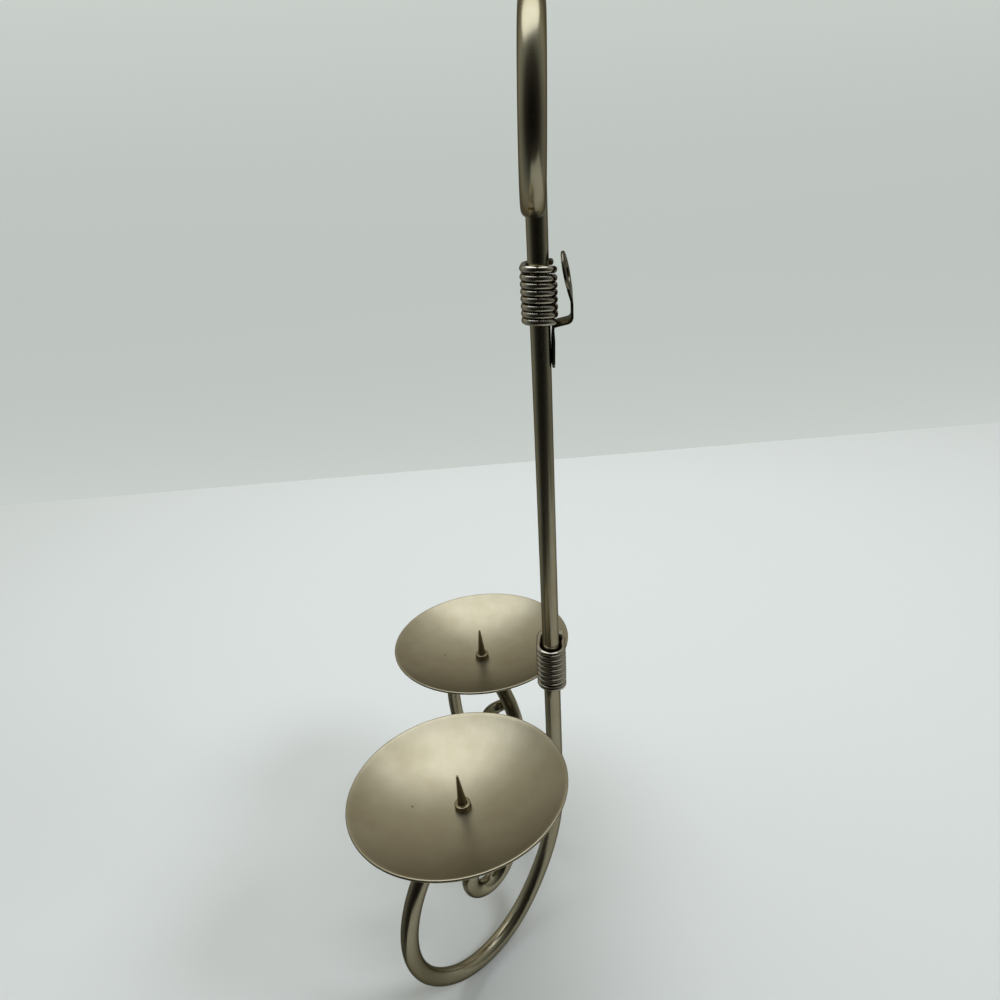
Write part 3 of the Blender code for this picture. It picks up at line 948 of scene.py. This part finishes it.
def group_node(tree, name, place, inputs):
    """A node group placed in a material with its own values."""
    made = node(tree, "Group", place)
    made.node_tree = bpy.data.node_groups[name]
    for key, value in inputs.items():
        made.inputs[key].default_value = value
    return made


def satin_metal(
    name, colour, roughness, cloud, pits, variation=0.05, tarnish=0.12, bump=0.05, glance=0.25
):
    """Satin plated metal: clouds in the colour, grain in the gloss and the relief, and a few pits.

    pits holds their spacing, size and share. glance says how much of the glancing reflection is kept.
    """
    material = bpy.data.materials.new(name)
    material.use_nodes = True
    tree = material.node_tree
    shader = tree.nodes["Principled BSDF"]
    shader.inputs["Metallic"].default_value = 1.0
    shader.inputs["Specular Tint"].default_value = (glance, glance, glance, 1)
    grain_inputs = {"Cloud Size": cloud, "Roughness": roughness, "Variation": variation}
    grain_node = group_node(tree, "Satin Grain", (-900, 0), grain_inputs)
    pit_inputs = dict(zip(("Spacing", "Size", "Share"), pits))
    pit_node = group_node(tree, "Plating Pits", (-900, -300), pit_inputs)
    worn = [part * (1 - tarnish * rate) for part, rate in zip(colour, TARNISH_RATE)]
    pitted = [part * kept for part, kept in zip(colour, PIT_TONE)]
    tint = node(tree, "Mix", (-600, 200), data_type="RGBA")
    tint.inputs["A"].default_value = (*colour, 1)
    tint.inputs["B"].default_value = (*worn, 1)
    ramp = node(tree, "MapRange", (-750, 250), {"From Min": 0.35, "From Max": 0.7})
    dark = node(tree, "Mix", (-300, 200), data_type="RGBA")
    dark.inputs["B"].default_value = (*pitted, 1)
    relief = node(tree, "Math", (-500, -300), operation="SUBTRACT")
    bump_node = node(tree, "Bump", (-250, -300), {"Strength": bump, "Distance": 0.00005})
    link = tree.links.new
    link(grain_node.outputs["Cloud"], ramp.inputs["Value"])
    link(ramp.outputs["Result"], tint.inputs["Factor"])
    link(tint.outputs["Result"], dark.inputs["A"])
    link(pit_node.outputs["Pit"], dark.inputs["Factor"])
    link(dark.outputs["Result"], shader.inputs["Base Color"])
    link(grain_node.outputs["Roughness"], shader.inputs["Roughness"])
    link(grain_node.outputs["Height"], relief.inputs[0])
    link(pit_node.outputs["Pit"], relief.inputs[1])
    link(relief.outputs[0], bump_node.inputs["Height"])
    link(bump_node.outputs["Normal"], shader.inputs["Normal"])
    return material


def make_groups():
    """Both node groups, made once."""
    if "Satin Grain" not in bpy.data.node_groups:
        satin_grain_group()
        plating_pits_group()


# Studio


def room_plan(inset):
    """Plan points of the room with its round corners, drawn in by inset.

    The room is turned about the middle of its -X side.
    """
    (x0, y0), (x1, y1) = ROOM_LOW, ROOM_HIGH
    corners = (
        (x1 - ROOM_CORNER, y1 - ROOM_CORNER),
        (x0 + ROOM_CORNER, y1 - ROOM_CORNER),
        (x0 + ROOM_CORNER, y0 + ROOM_CORNER),
        (x1 - ROOM_CORNER, y0 + ROOM_CORNER),
    )
    reach = ROOM_CORNER - inset
    steps = 12
    points = []
    for quarter, (centre_x, centre_y) in enumerate(corners):
        for i in range(steps + 1):
            turn = math.radians(90 * (quarter + i / steps))
            x = centre_x + reach * math.cos(turn) - x0
            y = centre_y + reach * math.sin(turn)
            turned_x = x * math.cos(ROOM_TURN) - y * math.sin(ROOM_TURN)
            turned_y = x * math.sin(ROOM_TURN) + y * math.cos(ROOM_TURN)
            points.append((x0 + turned_x, turned_y))
    return points


def paper(name, colour):
    """Matt seamless paper with a very faint tooth, and painted shade that makes it a little darker
    towards the camera, where the lamp's light falls off.
    """
    material = bpy.data.materials.new(name)
    material.use_nodes = True
    tree = material.node_tree
    shader = tree.nodes["Principled BSDF"]
    shader.inputs["Roughness"].default_value = 0.9
    shader.inputs["Specular IOR Level"].default_value = 0.1
    tooth = node(tree, "TexNoise", (-600, -200), {"Scale": 400.0, "Detail": 3.0})
    place = node(tree, "TexCoord", (-850, -200))
    bump = node(tree, "Bump", (-300, -200), {"Strength": 0.03, "Distance": 0.0002})
    parts = node(tree, "SeparateXYZ", (-650, 100))
    # Painted shade: the paper's colour darkens by a tenth from the back of the table towards the camera,
    # in place of the lamp's falloff
    painted_falloff_range = {"From Min": -0.5, "From Max": 0.15, "To Min": 1.0, "To Max": 0.90}
    painted_falloff = node(tree, "MapRange", (-450, 100), painted_falloff_range)
    scale = node(tree, "VectorMath", (-250, 100), {0: colour}, operation="SCALE")
    link = tree.links.new
    link(place.outputs["Object"], parts.inputs[0])
    link(parts.outputs["X"], painted_falloff.inputs["Value"])
    link(painted_falloff.outputs["Result"], scale.inputs["Scale"])
    link(scale.outputs["Vector"], shader.inputs["Base Color"])
    link(place.outputs["Object"], tooth.inputs["Vector"])
    link(tooth.outputs["Fac"], bump.inputs["Height"])
    link(bump.outputs["Normal"], shader.inputs["Normal"])
    return material


def plane_object(name, outline, height, material):
    """A flat sheet of paper with the given outline."""
    mesh = bmesh.new()
    mesh.faces.new([mesh.verts.new((x, y, height)) for x, y in outline])
    data = bpy.data.meshes.new(name)
    mesh.to_mesh(data)
    mesh.free()
    data.materials.append(material)
    obj = bpy.data.objects.new(name, data)
    bpy.context.scene.collection.objects.link(obj)
    return obj


def glowing_paper(name, colour):
    """Backdrop paper with a light of its own, a little brighter towards the top and the floor."""
    material = bpy.data.materials.new(name)
    material.use_nodes = True
    tree = material.node_tree
    shader = tree.nodes["Principled BSDF"]
    shader.inputs["Base Color"].default_value = (0.02, 0.02, 0.02, 1)
    shader.inputs["Roughness"].default_value = 1.0
    shader.inputs["Specular IOR Level"].default_value = 0.0
    place = node(tree, "TexCoord", (-1000, 0))
    parts = node(tree, "SeparateXYZ", (-800, 0))
    from_low = node(tree, "Math", (-700, 0), {1: GLOW_HEIGHT}, operation="SUBTRACT")
    square = node(tree, "Math", (-600, 0), {1: 2.0}, operation="POWER")
    rise = node(tree, "Math", (-500, 0), {1: GLOW_GROWTH, 2: GLOW_LEAST}, operation="MULTIPLY_ADD")
    capped = node(tree, "Math", (-450, 0), {1: GLOW_MOST}, operation="MINIMUM")
    scale = node(tree, "VectorMath", (-400, 0), {0: colour}, operation="SCALE")
    link = tree.links.new
    link(place.outputs["Object"], parts.inputs[0])
    link(parts.outputs["Z"], from_low.inputs[0])
    link(from_low.outputs[0], square.inputs[0])
    link(square.outputs[0], rise.inputs[0])
    link(rise.outputs[0], capped.inputs[0])
    link(capped.outputs[0], scale.inputs["Scale"])
    link(scale.outputs["Vector"], shader.inputs["Emission Color"])
    shader.inputs["Emission Strength"].default_value = 1.0
    return material


def make_cove():
    """A lit table of pale paper, the same paper round it, and a backdrop with rounded corners."""
    height = CAD_BOX[0][2] - TABLE_GAP
    white = paper("floor_paper", studio().floor_colour)
    (x0, y0), (x1, y1) = TABLE_LOW, TABLE_HIGH
    table = plane_object("studio_table", [(x0, y0), (x1, y0), (x1, y1), (x0, y1)], height, white)
    rest = plane_object("studio_floor", room_plan(COVE), height - FLOOR_GAP, white)
    mesh = bmesh.new()
    rows = []
    steps = 8
    for i in range(steps + 1):
        turn = math.pi / 2 * i / steps
        level = height + COVE * (1 - math.cos(turn))
        rows.append([(x, y, level) for x, y in room_plan(COVE * (1 - math.sin(turn)))])
    rows.append([(x, y, height + BACKDROP_HEIGHT) for x, y, _ in rows[-1]])
    loops = [[mesh.verts.new(p) for p in row] for row in rows]
    for first, second in zip(loops, loops[1:]):
        for i in range(len(first)):
            j = (i + 1) % len(first)
            mesh.faces.new((first[i], second[i], second[j], first[j]))
    data = bpy.data.meshes.new("studio_backdrop")
    mesh.to_mesh(data)
    mesh.free()
    data.shade_smooth()
    wall = bpy.data.objects.new("studio_backdrop", data)
    data.materials.append(glowing_paper("backdrop_paper", studio().wall_colour))
    bpy.context.scene.collection.objects.link(wall)
    # Only the camera sees the backdrop and the floor past the table, so the metal mirrors the sky there
    for obj in (wall, rest):
        obj.visible_diffuse = False
        obj.visible_glossy = False
        obj.visible_shadow = False


def make_sky():
    """The dim room round the table: palest past the backdrop, dark behind the camera."""
    world = bpy.data.worlds.new("studio_sky")
    bpy.context.scene.world = world
    world.use_nodes = True
    tree = world.node_tree
    back = tree.nodes["Background"]
    place = node(tree, "TexCoord", (-1300, 0))
    parts = node(tree, "SeparateXYZ", (-1100, 0))
    along = node(tree, "MapRange", (-850, 0), {"From Min": -1.0, "From Max": 1.0})
    tones = node(tree, "ValToRGB", (-600, 0))
    elements = tones.color_ramp.elements
    while len(elements) < len(ROOM_TONES):
        elements.new(0.5)
    for element, (at, colour) in zip(elements, ROOM_TONES):
        element.position = at
        element.color = (*colour, 1)
    # Brighter overhead, and a little dimmer past the wall
    rise_range = {"From Min": 0.0, "From Max": 0.8, "To Min": 1.0, "To Max": 1.8}
    rise = node(tree, "MapRange", (-850, -300), rise_range)
    aside_range = {"From Min": -0.6, "From Max": 0.8, "To Min": 1.10, "To Max": 0.95}
    aside = node(tree, "MapRange", (-850, -600), aside_range)
    both = node(tree, "Math", (-300, -300), operation="MULTIPLY")
    lit = node(tree, "VectorMath", (0, -50), operation="SCALE")
    link = tree.links.new
    link(place.outputs["Generated"], parts.inputs[0])
    link(parts.outputs["X"], along.inputs["Value"])
    link(parts.outputs["Z"], rise.inputs["Value"])
    link(parts.outputs["Y"], aside.inputs["Value"])
    link(along.outputs["Result"], tones.inputs["Fac"])
    link(rise.outputs["Result"], both.inputs[0])
    link(aside.outputs["Result"], both.inputs[1])
    link(tones.outputs["Color"], lit.inputs[0])
    link(both.outputs[0], lit.inputs["Scale"])
    link(lit.outputs["Vector"], back.inputs["Color"])
    back.inputs["Strength"].default_value = studio().sky_strength
    back.location = (200, 0)


def make_lamp(name, size, place, aim, power):
    """A soft oval lamp that faces a point."""
    data = bpy.data.lights.new(name, "AREA")
    data.shape = "ELLIPSE"
    data.size = size[0]
    data.size_y = size[1]
    data.energy = power
    data.color = LAMP_TINT
    lamp = bpy.data.objects.new(name, data)
    bpy.context.scene.collection.objects.link(lamp)
    lamp.location = place
    lamp.rotation_euler = (Vector(place) - Vector(aim)).to_track_quat("Z", "Y").to_euler()
    return lamp


def make_lamps():
    """A broad lamp over the table, and one far off on the camera's right."""
    make_lamp("soft_lamp", *SOFT_LAMP, studio().lamp_power)
    side = make_lamp("side_lamp", *SIDE_LAMP, studio().side_power)
    # It shapes the shadow on the paper, and the metal shows no mirror image of it
    side.visible_glossy = False


def make_camera():
    """The photo's viewing angle."""
    data = bpy.data.cameras.new("camera")
    data.lens = CAMERA_LENS
    data.sensor_width = CAMERA_SENSOR
    data.shift_x, data.shift_y = CAMERA_SHIFT
    data.clip_start = 0.01
    camera = bpy.data.objects.new("camera", data)
    bpy.context.scene.collection.objects.link(camera)
    camera.location = CAMERA_PLACE
    camera.rotation_euler = Euler([math.radians(turn) for turn in CAMERA_TURNS], "XYZ")
    bpy.context.scene.camera = camera


# Operators


class SCONCE_OT_rods(bpy.types.Operator):
    """Bend the two rods with their scrolls"""

    bl_idname = "sconce.rods"
    bl_label = "Rods"

    def execute(self, context):
        make_groups()
        metal = satin_metal(
            "satin_rod_metal",
            finish().rod_colour,
            roughness=0.24,
            cloud=45.0,
            pits=(86.0, 0.05, 0.2),
            variation=0.03,
            bump=0.015,
        )
        for label in SIDES:
            make_rod(label, metal)
        return {"FINISHED"}


class SCONCE_OT_wraps(bpy.types.Operator):
    """Wind both wires round the rods"""

    bl_idname = "sconce.wraps"
    bl_label = "Wire wraps"

    def execute(self, context):
        make_groups()
        metal = satin_metal(
            "binding_wire_metal",
            finish().wire_colour,
            roughness=0.14,
            cloud=200.0,
            pits=(250.0, 0.05, 0.1),
            bump=0.02,
        )
        upper = make_wrap("bound_wire_upper", "upper_wire_wrap", UPPER_WRAP, metal)
        lower = make_wrap("bound_wire_lower", "lower_wire_wrap", LOWER_WRAP, metal)
        return {"FINISHED"}


class SCONCE_OT_hanger(bpy.types.Operator):
    """Bend the hanger with its round head"""

    bl_idname = "sconce.hanger"
    bl_label = "Hanger"

    def execute(self, context):
        make_groups()
        metal = satin_metal(
            "satin_tab_metal",
            finish().tab_colour,
            roughness=0.26,
            cloud=120.0,
            pits=(80.0, 0.05, 0.2),
        )
        make_hanger(metal)
        return {"FINISHED"}


class SCONCE_OT_dishes(bpy.types.Operator):
    """Spin the two dishes"""

    bl_idname = "sconce.dishes"
    bl_label = "Dishes"

    def execute(self, context):
        make_groups()
        metal = satin_metal(
            "satin_dish_metal",
            finish().dish_colour,
            roughness=0.36,
            cloud=55.0,
            pits=(115.0, 0.05, 0.14),
            variation=0.08,
            tarnish=0.15,
            glance=0.55,
        )
        for label in SIDES:
            make_dish(label, metal)
        return {"FINISHED"}


class SCONCE_OT_spikes(bpy.types.Operator):
    """Turn the two spikes with their collars"""

    bl_idname = "sconce.spikes"
    bl_label = "Spikes"

    def execute(self, context):
        make_groups()
        metal = satin_metal(
            "dark_spike_metal",
            finish().spike_colour,
            roughness=0.24,
            cloud=300.0,
            pits=(400.0, 0.04, 0.1),
        )
        for label in SIDES:
            make_spike(label, metal)
        return {"FINISHED"}


class SCONCE_OT_stage(bpy.types.Operator):
    """Set the floor, backdrop, sky, lamps and camera"""

    bl_idname = "sconce.stage"
    bl_label = "Studio"

    def execute(self, context):
        make_cove()
        make_sky()
        make_lamps()
        make_camera()
        context.scene.view_settings.view_transform = "Standard"
        return {"FINISHED"}


class SCONCE_PT_panel(bpy.types.Panel):
    """Buttons and settings of the sconce"""

    bl_idname = "SCONCE_PT_panel"
    bl_label = "Wall Candle Sconce"
    bl_space_type = "VIEW_3D"
    bl_region_type = "UI"
    bl_category = "Sconce"

    def draw(self, context):
        for group in (shape(), finish(), studio()):
            box = self.layout.box()
            for name in group.__annotations__:
                box.prop(group, name)
        for operator in OPERATORS:
            self.layout.operator(operator.bl_idname)


SETTINGS = {
    "sconce_shape": SconceShape,
    "sconce_finish": SconceFinish,
    "sconce_studio": SconceStudio,
}
OPERATORS = (
    SCONCE_OT_rods,
    SCONCE_OT_wraps,
    SCONCE_OT_hanger,
    SCONCE_OT_dishes,
    SCONCE_OT_spikes,
    SCONCE_OT_stage,
)
CLASSES = (*SETTINGS.values(), *OPERATORS, SCONCE_PT_panel)


def register():
    for cls in CLASSES:
        bpy.utils.register_class(cls)
    for name, cls in SETTINGS.items():
        setattr(bpy.types.Scene, name, PointerProperty(type=cls))


def unregister():
    for name in SETTINGS:
        delattr(bpy.types.Scene, name)
    for cls in reversed(CLASSES):
        bpy.utils.unregister_class(cls)


def main():
    register()
    bpy.ops.sconce.rods()
    bpy.ops.sconce.wraps()
    bpy.ops.sconce.hanger()
    bpy.ops.sconce.dishes()
    bpy.ops.sconce.spikes()
    bpy.ops.sconce.stage()


if __name__ == "__main__":
    main()
